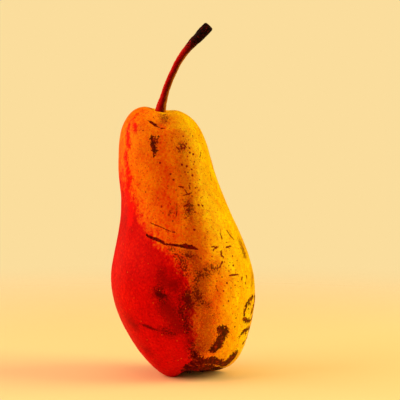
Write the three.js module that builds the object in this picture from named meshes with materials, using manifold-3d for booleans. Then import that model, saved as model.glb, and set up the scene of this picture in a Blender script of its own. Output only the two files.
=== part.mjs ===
// A ripe pear, as picked: the fruit with its stem cavity and its lobed base, the woody stem, and the dried
// calyx in the basin underneath. It stands on three of the five lobes of its base, with its neck leaning.
// Millimetres, +Z up. The origin is on the surface that the pear stands on, under the middle of the fruit.
import * as THREE from "three";
import { mergeVertices } from "three/addons/utils/BufferGeometryUtils.js";
import Module from "manifold-3d";

const wasm = await Module();
wasm.setup();

// Driving dimensions.
const FRUIT_WIDTH = 64.4; // across the belly
const FRUIT_HEIGHT = 120; // from the surface to the shoulder
const STEM_RISE = 39; // from the stem cavity to the stem's cut end, measured upright
const STEM_THICKNESS = 3.2; // at its thinnest, half way up
const CALYX_WIDTH = 12; // across the five dried sepals
const GAP = 0.3; // between the fruit and what is rooted in it

// Facets.
const FRUIT_ROWS = 66;
const FRUIT_SIDES = 64;
const STEM_ROWS = 44;
const STEM_SIDES = 16;
const SEPAL_ROWS = 7;
const SEPAL_SIDES = 8;
const STAMEN_SIDES = 6;
const CUP_SIDES = 20;

const HALF_WIDTH = FRUIT_WIDTH / 2;
const TURN = 2 * Math.PI;
const DEGREE = Math.PI / 180;

// The fruit's outline, from the middle of the stem cavity over the shoulder and down to the middle of the
// calyx basin: [radius as a share of half the width, height as a share of the fruit's height].
const OUTLINE = [
  [0, 0.99], [0.1, 0.994], [0.21, 1.004], [0.342, 0.994], [0.466, 0.969], [0.556, 0.932], [0.615, 0.882],
  [0.652, 0.82], [0.682, 0.753], [0.711, 0.687], [0.77, 0.612], [0.857, 0.533], [0.945, 0.45], [0.993, 0.37],
  [0.976, 0.295], [0.911, 0.222], [0.812, 0.15], [0.7, 0.087], [0.57, 0.037], [0.41, 0.007], [0.3, 0.012],
  [0.21, 0.035], [0.12, 0.052], [0, 0.058],
];
// Where the fruit's middle line runs, to the right and to the back, at each height:
// [height as a share of the fruit's height, offset as a share of half the width].
const MIDDLE_X = [
  [0, 0.22], [0.17, 0.09], [0.36, 0], [0.53, -0.046], [0.67, -0.132], [0.78, -0.224], [0.9, -0.274],
  [1, -0.294],
];
const MIDDLE_Y = [
  [0, -0.037], [0.17, -0.019], [0.36, 0], [0.53, 0.025], [0.67, 0.05], [0.78, 0.071], [0.9, 0.084],
  [1, 0.087],
];
// How much each slice of the fruit is tipped, as the rise for each millimetre to the right and to the back.
const TIP_X = [[0, 0.06], [0.25, 0.05], [0.5, 0.03], [0.79, 0], [0.93, -0.08], [1, -0.12]];
const TIP_Y = [[0, -0.05], [0.25, -0.02], [0.79, 0], [1, 0.05]];
const DEPTH_SHARE = 0.985; // the fruit's depth against its width
// Low lumps of the skin: [height as a share of the radius, how many go round, where they start, how far they
// twist up the fruit, both in radians]. They fade out at the ends, where the radius is below this.
const LUMPS = [[0.01, 2, 0.6, 3.6], [0.006, 3, 2.1, -5.4]];
const LUMPS_FADE_BELOW = 14;

// Five lobes stand round the calyx basin. The two at the front right are raised clear of the surface.
const LOBES = 5;
const LOBE_AT = 205 * DEGREE;
const LOBE_DEPTH = 0.8;
const RAISED_AT = 300 * DEGREE;
const RAISED_BY = 3.6;
const RAISED_EDGE = [0.4, 0.95]; // where they rise: 0 is on the far side from them, and 1 between them
const LOBES_BELOW = 0.2; // as a share of the fruit's height
const BASIN_EDGE = [1.5, 9]; // the radii between which the lobes rise out of the basin
const RESTING_FLAT = 0.7; // how far the lobes that carry the pear are flattened
const SHOULDER_DIP = 0.55; // the shoulder is lower at the front and the back than at the sides
const SHOULDER_ABOVE = 0.93; // as a share of the fruit's height
const CAVITY_EDGE = [0.5, 6]; // the radii between which the shoulder rises out of the stem cavity

// The stem's path from its root in the fruit to its cut end, as shares of its rise from the stem cavity:
// [to the right, to the back, up, thickness as a share of its thinnest].
const STEM_PATH = [
  [-0.03, 0.002, -0.12, 1.8], [-0.012, 0, 0.04, 1.5], [0.024, -0.005, 0.18, 1.12], [0.068, -0.013, 0.32, 1],
  [0.13, -0.026, 0.463, 0.97], [0.2, -0.044, 0.602, 0.98], [0.297, -0.064, 0.738, 1.08],
  [0.402, -0.087, 0.85, 1.28], [0.476, -0.105, 0.928, 1.46], [0.55, -0.12, 1.004, 1.46],
];
// Bud scars that swell the stem near its end: [place along it, angle round it, swelling, length of it].
const BUD_SCARS = [
  [0.8, 250, 0.16, 0.035], [0.86, 60, 0.13, 0.04], [0.93, 320, 0.15, 0.04], [0.97, 150, 0.12, 0.03],
];
const STEM_RIDGES = 3;
const RIDGE_DEPTH = 0.05; // as a share of the stem's thickness
const RIDGE_TWIST = 5; // from the root to the cut end, in radians

const CUP_RADIUS = 2.3; // of the calyx tube that the sepals grow from
const CUP_WALL = 0.8;
const CUP_DEPTH = 1; // of its hollow
const CUP_BEVEL = 0.3;
const CUP_RIM = 1.9; // how far the cup's rim hangs below the middle of the basin
const CUP_ROOT = 2.4; // how far the cup's root goes up into the fruit
const SOCKET_REACH = 3; // how far the hole for it is cut beyond its rim
const SEPALS = 5;
const SEPAL_THICKNESS = 0.8;
const SEPAL_WIDTH = 3.4;
const SEPAL_ROOT_RADIUS = 1.035; // inside the cup's wall
const SEPAL_ROOT_DROP = 1.045; // below the middle of the basin
const SEPAL_DROP = 3; // from its root to its tip
const SEPAL_CURL = 0.5; // how far its tip turns back up
const SEPAL_LEAN = 0.6; // of its thickness, outwards for each millimetre up
const STAMENS = 8;
const STAMEN_THICKNESS = 0.7;
const STAMEN_RING = 1.3; // radius of the ring that they stand in
const STAMEN_ROOT = 1.5; // below the middle of the basin
const STAMEN_LENGTH = 2.2;
const STAMEN_LONGER = 0.4; // how much longer or shorter some are
const STAMEN_LEAN = 0.25; // outwards for each millimetre down

const smoothStep = (low, high, x) => THREE.MathUtils.smoothstep(x, low, high);

// The value at a place between stations, which are joined by smooth cubic pieces.
function along(stations, place) {
  const last = stations.length - 1;
  const at = THREE.MathUtils.clamp(place, stations[0][0], stations[last][0]);
  let i = 0;
  while (i < last - 1 && at >= stations[i + 1][0]) i += 1;
  const slope = (k) => {
    const [before, after] = [stations[Math.max(k - 1, 0)], stations[Math.min(k + 1, last)]];
    return (after[1] - before[1]) / (after[0] - before[0]);
  };
  const [from, to] = [stations[i], stations[i + 1]];
  const span = to[0] - from[0];
  const t = (at - from[0]) / span;
  return (
    (2 * t ** 3 - 3 * t ** 2 + 1) * from[1] + (t ** 3 - 2 * t ** 2 + t) * span * slope(i) +
    (3 * t ** 2 - 2 * t ** 3) * to[1] + (t ** 3 - t ** 2) * span * slope(i + 1)
  );
}

// A point on the smooth line through a list of points, at share t of the way. The line runs on past its ends
// towards the two points given as before and after.
function lineThrough(points, before, after, t) {
  const all = [before, ...points, after];
  const place = THREE.MathUtils.clamp(t, 0, 1) * (points.length - 1);
  const i = Math.min(Math.floor(place), points.length - 2);
  const f = place - i;
  return all[i].map((a, k) => {
    const [b, c, d] = [all[i + 1][k], all[i + 2][k], all[i + 3][k]];
    return b + 0.5 * f * (c - a + f * (2 * a - 5 * b + 4 * c - d + f * (3 * (b - c) + d - a)));
  });
}

// A point of the fruit's skin: t runs from the stem cavity to the calyx basin, and angle goes round from +X.
function skinPoint(t, angle) {
  const mirrored = ([radius, height]) => [-radius, height];
  const ends = [mirrored(OUTLINE[1]), mirrored(OUTLINE[OUTLINE.length - 2])];
  const [radiusShare, share] = lineThrough(OUTLINE, ends[0], ends[1], t);
  const [radius, height] = [radiusShare * HALF_WIDTH, share * FRUIT_HEIGHT];

  const lumps = LUMPS.reduce((sum, [size, around, start, twist]) => {
    return sum + size * Math.sin(around * angle + start + twist * share);
  }, 0);
  const lumpy = radius * (1 + lumps * smoothStep(0, LUMPS_FADE_BELOW, radius));
  const x = lumpy * Math.cos(angle);
  const y = lumpy * Math.sin(angle) * DEPTH_SHARE;

  const nearBase = (1 - smoothStep(0, LOBES_BELOW, share)) * smoothStep(...BASIN_EDGE, radius);
  const nearShoulder = smoothStep(SHOULDER_ABOVE, 1, share) * smoothStep(...CAVITY_EDGE, radius);
  const groove = LOBE_DEPTH * 0.5 * (1 - Math.cos(LOBES * (angle - LOBE_AT)));
  const raised = RAISED_BY * smoothStep(...RAISED_EDGE, 0.5 + 0.5 * Math.cos(angle - RAISED_AT));
  const z =
    height + along(TIP_X, share) * x + along(TIP_Y, share) * y + (groove + raised) * nearBase +
    SHOULDER_DIP * Math.cos(2 * angle) * nearShoulder - RESTING_FLAT;
  return new THREE.Vector3(
    along(MIDDLE_X, share) * HALF_WIDTH + x,
    along(MIDDLE_Y, share) * HALF_WIDTH + y,
    Math.max(z, 0),
  );
}

// A closed skin of rows round a middle line. pointAt(row share, angle) gives its points, and the first and
// the last row are each one point. The rows run so that the faces point outwards.
function closedSkin(rows, sides, pointAt) {
  const position = [];
  const index = [];
  const ring = (row, side) => 1 + (row - 1) * sides + (side % sides);
  for (let row = 0; row <= rows; row += 1) {
    const isEnd = row === 0 || row === rows;
    for (let side = 0; side < (isEnd ? 1 : sides); side += 1) {
      position.push(...pointAt(row / rows, (side / sides) * TURN).toArray());
    }
  }
  const lastPoint = position.length / 3 - 1;
  for (let side = 0; side < sides; side += 1) {
    index.push(0, ring(1, side), ring(1, side + 1));
    for (let row = 1; row < rows - 1; row += 1) {
      const [a, b] = [ring(row, side), ring(row, side + 1)];
      const [c, d] = [ring(row + 1, side + 1), ring(row + 1, side)];
      index.push(a, d, c, a, c, b);
    }
    index.push(lastPoint, ring(rows - 1, side + 1), ring(rows - 1, side));
  }
  const geometry = new THREE.BufferGeometry();
  geometry.setAttribute("position", new THREE.Float32BufferAttribute(position, 3));
  geometry.setIndex(index);
  return geometry;
}

// A limb that follows a path: frame(share) gives its middle, thickness and width directions at that share.
// The ends are closed by a point in the middle of the first and the last section.
function limb(rows, sides, frame) {
  return closedSkin(rows + 2, sides, (share, angle) => {
    const row = Math.round(share * (rows + 2));
    const { middle, across, through } = frame(THREE.MathUtils.clamp((row - 1) / rows, 0, 1), angle);
    if (row === 0 || row === rows + 2) return middle.clone();
    return middle.clone().addScaledVector(across, Math.cos(angle)).addScaledVector(through, Math.sin(angle));
  });
}

const solidOf = (geometry) => {
  const bare = geometry.clone();
  bare.deleteAttribute("normal");
  bare.deleteAttribute("uv");
  const merged = mergeVertices(bare, 1e-4);
  return new wasm.Manifold(
    new wasm.Mesh({
      numProp: 3,
      vertProperties: new Float32Array(merged.attributes.position.array),
      triVerts: new Uint32Array(merged.index.array),
    }),
  );
};

const geometryOf = (solid) => {
  const mesh = solid.getMesh();
  const geometry = new THREE.BufferGeometry();
  geometry.setAttribute("position", new THREE.BufferAttribute(new Float32Array(mesh.vertProperties), 3));
  geometry.setIndex(new THREE.BufferAttribute(new Uint32Array(mesh.triVerts), 1));
  geometry.computeVertexNormals();
  return geometry;
};

const cavityMiddle = skinPoint(0, 0);
const basinMiddle = skinPoint(1, 0);

// The stem, or the hole that it stands in when spare is the gap round it.
function stemGeometry(spare) {
  const extend = (end, beside) => end.map((value, k) => 2 * value - beside[k]);
  const count = STEM_PATH.length;
  const before = extend(STEM_PATH[0], STEM_PATH[1]);
  const after = extend(STEM_PATH[count - 1], STEM_PATH[count - 2]);
  const middleAt = (share) => {
    const [x, y, z, thick] = lineThrough(STEM_PATH, before, after, share);
    const middle = new THREE.Vector3(x, y, z).multiplyScalar(STEM_RISE).add(cavityMiddle);
    return { middle, thick };
  };
  const step = 0.01;
  return limb(STEM_ROWS, STEM_SIDES, (share, angle) => {
    const { middle, thick } = middleAt(share);
    const ahead = middleAt(Math.min(share + step, 1)).middle;
    const direction = ahead.sub(middleAt(Math.max(share - step, 0)).middle).normalize();
    const side = new THREE.Vector3(0, 1, 0).cross(direction).normalize();
    const ridged = 1 + RIDGE_DEPTH * Math.cos(STEM_RIDGES * angle + RIDGE_TWIST * share);
    const swollen = BUD_SCARS.reduce((sum, [place, at, swelling, length]) => {
      const round = Math.cos(angle - at * DEGREE);
      return sum + swelling * Math.exp(-(((share - place) / length) ** 2)) * Math.max(round, 0) ** 2;
    }, 0);
    const radius = (STEM_THICKNESS / 2) * thick * (ridged + swollen) + spare;
    const start = share === 0 ? -spare : 0;
    return {
      middle: middle.addScaledVector(direction, start),
      across: side.clone().multiplyScalar(radius),
      through: side.clone().cross(direction).multiplyScalar(radius),
    };
  });
}

// A dried sepal: it grows out of the cup, spreads out and down over the basin and curls at its tip, and its
// sides come to a point.
function sepalGeometry(angle) {
  const out = new THREE.Vector3(Math.cos(angle), Math.sin(angle), 0);
  const sideways = new THREE.Vector3(-Math.sin(angle), Math.cos(angle), 0);
  return limb(SEPAL_ROWS, SEPAL_SIDES, (share) => {
    const radius = THREE.MathUtils.lerp(SEPAL_ROOT_RADIUS, CALYX_WIDTH / 2, share);
    const drop = SEPAL_ROOT_DROP + SEPAL_DROP * share ** 1.3 - SEPAL_CURL * share ** 6;
    const middle = basinMiddle.clone().addScaledVector(out, radius).add(new THREE.Vector3(0, 0, -drop));
    const taper = Math.sqrt(Math.max(1 - share ** 1.6, 0.03)); // of its width, from the root to the tip
    const normal = new THREE.Vector3(0, 0, 1).addScaledVector(out, SEPAL_LEAN).normalize();
    return {
      middle,
      across: sideways.clone().multiplyScalar((SEPAL_WIDTH / 2) * taper),
      through: normal.multiplyScalar((-SEPAL_THICKNESS / 2) * (0.85 + 0.15 * taper)),
    };
  });
}

// A dried stamen, one of the tuft in the mouth of the cup.
function stamenGeometry(number) {
  const angle = (number + 0.5) * (TURN / STAMENS);
  const out = new THREE.Vector3(Math.cos(angle), Math.sin(angle), 0);
  const direction = new THREE.Vector3(0, 0, -1).addScaledVector(out, STAMEN_LEAN).normalize();
  const length = STAMEN_LENGTH + STAMEN_LONGER * Math.sin(number * 2.4);
  const rod = new THREE.CylinderGeometry(STAMEN_THICKNESS / 2, STAMEN_THICKNESS / 2, length, STAMEN_SIDES);
  rod.applyQuaternion(new THREE.Quaternion().setFromUnitVectors(new THREE.Vector3(0, 1, 0), direction));
  const foot = basinMiddle.clone().addScaledVector(out, STAMEN_RING).setZ(basinMiddle.z - STAMEN_ROOT);
  return rod.translate(...foot.addScaledVector(direction, length / 2).toArray());
}

// The calyx tube: a small round cup, open downwards, whose root goes up into the fruit.
function cupGeometry() {
  const mouth = CUP_RADIUS - CUP_WALL;
  return turned([
    [0, -CUP_RIM + CUP_DEPTH], [mouth - CUP_BEVEL, -CUP_RIM + CUP_DEPTH], [mouth, -CUP_RIM],
    [CUP_RADIUS, -CUP_RIM + CUP_BEVEL], [CUP_RADIUS, CUP_ROOT], [0, CUP_ROOT],
  ]);
}

// The hole in the fruit for the calyx tube.
function socketGeometry() {
  const [radius, top, mouth] = [CUP_RADIUS + GAP, CUP_ROOT + GAP, -CUP_RIM - SOCKET_REACH];
  return turned([[0, mouth], [radius, mouth], [radius, top], [0, top]]);
}

// A body turned round the upright line through the middle of the basin, from [radius, height] points.
function turned(outline) {
  const lathe = new THREE.LatheGeometry(outline.map(([r, z]) => new THREE.Vector2(r, z)), CUP_SIDES);
  return lathe.rotateX(Math.PI / 2).translate(...basinMiddle.toArray());
}

const material = (color, roughness) => new THREE.MeshStandardMaterial({ color, roughness, metalness: 0 });
const part = (name, solid, finish) => {
  const mesh = new THREE.Mesh(geometryOf(solid), finish);
  mesh.name = name;
  return mesh;
};

function fruit() {
  return solidOf(closedSkin(FRUIT_ROWS, FRUIT_SIDES, skinPoint))
    .subtract(solidOf(stemGeometry(GAP)))
    .subtract(solidOf(socketGeometry()));
}

function calyx() {
  let solid = solidOf(cupGeometry());
  for (let i = 0; i < SEPALS; i += 1) {
    solid = solid.add(solidOf(sepalGeometry(LOBE_AT + ((i + 0.5) * TURN) / SEPALS)));
  }
  for (let i = 0; i < STAMENS; i += 1) {
    solid = solid.add(solidOf(stamenGeometry(i)));
  }
  return solid;
}

const pear = new THREE.Group();
pear.add(
  part("fruit", fruit(), material(0xe88a12, 0.42)),
  part("stem", solidOf(stemGeometry(0)), material(0x6b2416, 0.7)),
  part("calyx", calyx(), material(0x2e1a12, 0.85)),
);

export default pear;
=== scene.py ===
"""A ripe pear, standing on the lobes of its base: the fruit with its skin, its scars and its lenticels, the
woody stalk, and the dried calyx in the basin underneath. Shapes are in millimetres until a mesh is made."""

import math

import bmesh
import bpy
import numpy as np
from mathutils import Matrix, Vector
from mathutils.bvhtree import BVHTree


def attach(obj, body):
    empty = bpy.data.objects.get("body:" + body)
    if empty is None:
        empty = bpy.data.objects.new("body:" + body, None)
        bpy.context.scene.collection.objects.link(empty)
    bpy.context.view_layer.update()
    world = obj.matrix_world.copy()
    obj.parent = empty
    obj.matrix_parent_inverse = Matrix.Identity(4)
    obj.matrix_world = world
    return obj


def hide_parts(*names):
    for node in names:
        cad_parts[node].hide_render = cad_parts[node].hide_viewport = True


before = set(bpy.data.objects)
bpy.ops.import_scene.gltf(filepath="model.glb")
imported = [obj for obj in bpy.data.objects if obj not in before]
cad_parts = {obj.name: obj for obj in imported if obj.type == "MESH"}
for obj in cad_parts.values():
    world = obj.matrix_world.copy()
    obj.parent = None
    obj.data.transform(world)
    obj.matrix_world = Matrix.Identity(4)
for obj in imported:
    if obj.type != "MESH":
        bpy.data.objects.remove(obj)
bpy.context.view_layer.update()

MM = 0.001
TURN = 2 * math.pi

# The fruit's and the stalk's sizes, and the lines that they follow, are those of the solids. The outline
# runs from the stem cavity to the calyx basin: (radius as a share of half the width, height as a share of
# the whole). The middle line and the tip of each slice are (height share, offset or rise).
FRUIT_WIDTH = 64.4
FRUIT_HEIGHT = 120
STEM_RISE = 39
STEM_THICKNESS = 3.2
HALF_WIDTH = FRUIT_WIDTH / 2
OUTLINE = [
    (0, 0.99), (0.1, 0.994), (0.21, 1.004), (0.342, 0.994), (0.466, 0.969), (0.556, 0.932), (0.615, 0.882),
    (0.652, 0.82), (0.682, 0.753), (0.711, 0.687), (0.77, 0.612), (0.857, 0.533), (0.945, 0.45),
    (0.993, 0.37), (0.976, 0.295), (0.911, 0.222), (0.812, 0.15), (0.7, 0.087), (0.57, 0.037), (0.41, 0.007),
    (0.3, 0.012), (0.21, 0.035), (0.12, 0.052), (0, 0.058),
]
MIDDLE_X = [
    (0, 0.22), (0.17, 0.09), (0.36, 0), (0.53, -0.046), (0.67, -0.132), (0.78, -0.224), (0.9, -0.274),
    (1, -0.294),
]
MIDDLE_Y = [
    (0, -0.037), (0.17, -0.019), (0.36, 0), (0.53, 0.025), (0.67, 0.05), (0.78, 0.071), (0.9, 0.084),
    (1, 0.087),
]
TIP_X = [(0, 0.06), (0.25, 0.05), (0.5, 0.03), (0.79, 0), (0.93, -0.08), (1, -0.12)]
TIP_Y = [(0, -0.05), (0.25, -0.02), (0.79, 0), (1, 0.05)]
DEPTH_SHARE = 0.985
# Low lumps: (height as a share of the radius, how many go round, where they start, twist up the fruit).
LUMPS = [(0.01, 2, 0.6, 3.6), (0.006, 3, 2.1, -5.4)]
LUMPS_FADE_BELOW = 14
LOBES = 5
LOBE_AT = math.radians(205)
LOBE_DEPTH = 0.8
RAISED_AT = math.radians(300)
RAISED_BY = 3.6
RAISED_EDGE = (0.4, 0.95)
LOBES_BELOW = 0.2
BASIN_EDGE = (1.5, 9)
RESTING_FLAT = 0.7
SHOULDER_DIP = 0.55
SHOULDER_ABOVE = 0.93
CAVITY_EDGE = (0.5, 6)
# The stalk's path, as shares of its rise: (right, back, up, thickness as a share of its thinnest). Its bud
# scars: (place along it, angle round it, swelling, length).
STEM_PATH = [
    (-0.03, 0.002, -0.12, 1.8), (-0.012, 0, 0.04, 1.5), (0.024, -0.005, 0.18, 1.12),
    (0.068, -0.013, 0.32, 1), (0.13, -0.026, 0.463, 0.97), (0.2, -0.044, 0.602, 0.98),
    (0.297, -0.064, 0.738, 1.08), (0.402, -0.087, 0.85, 1.28), (0.476, -0.105, 0.928, 1.46),
    (0.55, -0.12, 1.004, 1.46),
]
BUD_SCARS = [
    (0.8, 250, 0.16, 0.035), (0.86, 60, 0.13, 0.04), (0.93, 320, 0.15, 0.04), (0.97, 150, 0.12, 0.03),
]
# The stalk's mesh: steps along it, sides round it, and the steps over which the edge of the cut end is
# rounded, by this share of its section. Its ridges wind by this angle. The hollow in the cut end is this
# share as wide as the end, and the hollow's floor this share as wide as its mouth.
STALK_STEPS = 140
STALK_SIDES = 40
ROUNDED_STEPS = 4
ROUNDED_BY = 0.32
RIDGE_TWIST = 5.0
HOLLOW_SHARE = 0.72
PITH_SHARE = 0.55

# The dried flower in the basin: five sepals, and a tuft of stamens round the mouth of the cup.
SEPAL_LENGTH = 5.4
SEPAL_WIDTH = 3.6
SEPAL_THICKNESS = 0.45
SEPAL_DROP = 3.2
SEPAL_CURL = 1.0
SEPAL_RING = 0.9
STAMENS = 16
STAMEN_LENGTH = 1.0
STAMEN_WIDTH = 0.45
STAMEN_THICKNESS = 0.4
STAMEN_DROP = 3.0
STAMEN_RING = 1.1
CALYX_BELOW_BASIN = 0.9
STAMENS_BELOW_SEPALS = 0.3
# Each of them is a blade that tapers by this power of the way along it, down to a blunt tip. It is cupped by
# this share of its width, and its edges are thinner by this share.
BLADE_TAPER = 1.7
BLADE_TIP = 0.02
BLADE_CUP = 0.25
BLADE_THINNER = 0.6

# The camera stands where the photograph was taken from: this high above the level, this far away, looking at
# this point, with this many millimetres to a pixel there.
CAMERA_RISE = math.radians(5)
CAMERA_AWAY = 800
CAMERA_AIM = np.array([7.9, 0, 79.3])
PIXEL = 0.45
PHOTO_PIXELS = 400
CAMERA_BACK = np.array([0, -math.cos(CAMERA_RISE), math.sin(CAMERA_RISE)])
CAMERA_UP = np.array([0, math.sin(CAMERA_RISE), math.cos(CAMERA_RISE)])
CAMERA_PLACE = CAMERA_AIM + CAMERA_AWAY * CAMERA_BACK

# Marks on the skin, each a path of photograph pixels with the mark's half width there, also in pixels:
# (x, y, half width). They are put on the skin where the camera sees them.
GASHES = [
    [(146.5, 234.5, 0.8), (149, 236.8, 1.3), (154, 238.5, 1.7), (158, 240, 1.5), (162, 242, 1.6),
     (165, 244.3, 0.9), (172, 244.7, 1.1), (180, 245.8, 1.4), (186, 246.2, 2.5), (192, 247.3, 2.2),
     (198, 249.5, 0.5)],
    [(148.5, 120.5, 0.5), (152, 122.5, 1.5), (155, 124.8, 1.5), (159, 127.2, 0.5)],
]
HEALED_GASHES = [
    [(140, 323.5, 0.6), (147, 326.3, 1.9), (151, 328, 1.8), (158, 330.5, 0.6)],
    [(155, 292.5, 1), (160, 295, 3), (166, 296.5, 1.2)],
    [(172, 209, 0.72), (169, 215.5, 0.7)], [(177, 205, 0.5), (176, 211, 0.5)],
]
SCRATCHES = [
    [(151, 223, 0.43), (156, 225.2, 0.51), (163, 228, 0.51), (171, 231.8, 0.43), (174.5, 232, 0.87)],
    [(210, 171, 0.43), (211.5, 181, 0.51)],
    [(220, 233, 0.51), (222, 238.5, 0.8)],
    [(227, 230.5, 0.51), (230, 235, 0.87), (234, 239.5, 0.51)],
    [(211.5, 246.9, 0.6), (214, 246.5, 0.9)], [(215.3, 247.8, 1.3), (218, 246.7, 0.6)],
    [(213.8, 249.6, 0.9), (213, 250.8, 0.4)],
    [(226.5, 247.5, 1.01), (231, 246, 0.65)],
    [(221, 251.5, 1.01), (221.5, 255.5, 1.16), (223.5, 257, 0.58)],
    [(222.5, 262, 1.16), (221, 264.5, 0.72), (219.5, 267.5, 0.87)],
    [(229.5, 275.5, 0.65), (233, 275, 1.16), (238.5, 274.5, 0.51)],
    [(241.8, 279.4, 1), (242.6, 277, 0.7)], [(246.4, 275.8, 0.9), (247.2, 278.4, 0.6)],
    [(245.6, 283, 1.2), (246, 284, 0.8)],
    [(216, 286, 0.51), (217.5, 291, 0.51)],
    [(176.5, 147, 0.6), (179, 149.5, 0.9)], [(180.5, 146, 0.8), (182, 149, 0.6)],
    [(184, 145, 0.8), (186, 147, 0.6)], [(179, 186.5, 0.6), (183, 187.5, 0.8)],
    [(185, 190, 0.5), (187.5, 194, 0.7)], [(183.5, 195.5, 0.6), (189, 194, 0.9), (192, 192.5, 0.4)],
    [(184, 206.5, 0.7), (187.5, 204.5, 0.9), (190, 203, 0.4)], [(186, 210, 0.6), (189, 211, 0.8)],
    [(177, 212, 0.5), (176, 217, 0.6)], [(189, 185, 0.4), (190, 189, 0.5)],
    [(201, 152, 0.4), (200, 157, 0.5)], [(161.5, 128.5, 0.8), (164, 128.3, 0.5)],
]
RUSSET_AND_FOOT_SHADE = [
    [(152.3, 138, 2.2), (153.5, 143, 3.1), (153.5, 148, 2.8), (155, 152, 2.7), (154, 155.5, 1.6)],
    [(158.3, 137, 1), (157, 142, 1.8)],
    [(219.5, 328.5, 3.6), (224, 331.5, 6)],
    [(223, 334, 5.6), (220.5, 340, 5.4), (218, 345, 5.6), (214, 349, 5)],
    [(235.4, 352.4, 3), (232.6, 356.5, 6.4), (228.6, 361, 7), (224, 365, 5.4)],
    # These three run along the front of the foot, where its underside is in shadow: dark cork that is partly
    # real russet and partly painted shade.
    [(194, 352.5, 3.4), (196, 357.5, 5.4), (199, 362, 8), (190, 366, 5)],
    [(203, 361, 4.6), (211, 360.5, 5.6), (218, 362, 4.6), (225, 364, 3.4)],
    [(184, 370.5, 3), (189, 368, 6), (198, 366, 8), (208, 368, 7), (217, 369, 5), (224, 368, 4)],
    [(253, 296.5, 1.9), (250.4, 299, 2.5), (247.6, 302.2, 1.8)], [(246.6, 304.6, 2.3), (245.2, 310, 1.6)],
    [(244.7, 312, 1.9), (244.2, 316.5, 1.3)], [(243.6, 318.4, 2), (246.6, 321, 2.8), (250.2, 320.2, 2)],
    [(252.2, 308.5, 1.2), (251.4, 313.5, 2)], [(248.4, 309.4, 0.8), (249.4, 312, 0.5)],
    [(248.8, 327.6, 1.8), (244, 331, 2.7), (241.2, 333.4, 1.5), (239.3, 337, 0.9)],
    [(245, 330.5, 1.2), (246, 334, 0.8)], [(244.5, 341, 1.8), (243, 343.5, 1.6)],
]
# Marks that the photograph doesn't show, on the far sides: (angle from +X in degrees, height, half width),
# the last two in millimetres.
FAR_SCRATCHES = [
    [(68, 71, 0.2), (72, 66, 0.3), (73, 63, 0.2)], [(96, 52, 0.15), (103, 50, 0.35), (109, 51.5, 0.2)],
    [(47, 49, 0.2), (50, 45, 0.3)], [(58, 38, 0.2), (60, 34, 0.35), (64, 32.5, 0.2)],
    [(128, 84, 0.15), (124, 78, 0.25)], [(30, 58, 0.2), (33, 56, 0.3)], [(82, 90, 0.2), (85, 86, 0.25)],
    [(150, 47, 0.2), (158, 46, 0.4), (164, 47.5, 0.2)], [(75, 104, 0.2), (84, 101, 0.3)],
]
FAR_RUSSET = [
    [(88, 30, 0.8), (93, 27, 1.5), (99, 26, 1.1)], [(52, 15, 1), (60, 12, 1.8), (70, 11, 1.4)],
    [(140, 97, 0.7), (144, 93, 1.2)], [(20, 80, 0.5), (22, 76, 0.9)], [(118, 12, 1), (128, 10, 1.6)],
    [(-9, 36.4, 0.8), (-3, 34.6, 1.8), (3, 31.6, 3), (0, 28.4, 2.4), (-9, 26.4, 1.1)],
    [(9, 33, 1.6), (14, 31, 0.8)],
    [(-3, 26.4, 1.3), (0, 24, 1.6), (-4, 22.6, 1)], [(-24, 34.6, 1.1), (-20, 33.6, 0.6)],
    [(-12, 22.4, 0.8), (-5, 21, 1.3), (1, 18.5, 1.7), (-8, 16.5, 0.8)], [(-8, 32.6, 1.3), (-12, 29.8, 1.1)],
]
FAR_SMUDGES = [
    [(104, 68, 1.5), (108, 58, 3), (112, 46, 3.5), (110, 36, 2.5)], [(160, 40, 3), (172, 36, 4)],
    [(98, 96, 1.5), (100, 86, 2.5)], [(125, 24, 3), (140, 22, 3)],
]
# Russet in the basin and round it, dark brown partly as painted shade under the fruit's foot: it reaches
# this far from the middle, less above this height.
BASIN_RUSSET_AND_SHADE = 9.5
BASIN_HEIGHT = 6
SMUDGES = [
    [(163.5, 116, 1.5), (163, 121, 2)],
    [(187, 255, 0.4), (193, 256, 0.8)],
    [(187, 300, 7), (190, 306, 7), (183, 318, 6)],
    [(198, 299, 2.5), (201, 304, 2.5)], [(204, 304, 1), (208, 306, 0.6)],
    [(161, 272, 3), (165, 283, 6), (175, 286, 5)],
    [(156, 294, 5), (166, 298, 4)],
    [(165, 306, 8), (172, 316, 8), (178, 328, 7)],
    [(187, 320, 4), (190, 332, 4), (191, 345, 3)],
    [(163, 330, 4), (172, 334, 3)],
    [(130, 321, 4), (136, 327, 3)],
    [(145, 349, 1), (149, 352, 1.5)],
    [(240.5, 243, 1), (244.5, 255, 1.6)],
    [(252, 272, 1), (252, 284, 1.2)],
    [(195, 340, 3), (200, 350, 4)],
]
CLOUD = [
    [(196, 268, 4), (203, 272, 7), (203, 280, 7), (198, 288, 5)],
    [(211, 269, 2.5), (216, 270, 1.2)], [(205, 290, 3), (200, 294, 3)],
    [(188, 252, 4), (196, 262, 4)], [(188, 201, 2), (190, 210, 2), (192, 221, 1.6)],
    [(183, 145, 0.4), (180, 148, 0.9)], [(208, 318, 6), (206, 332, 7), (207, 345, 7)],
]
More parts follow.
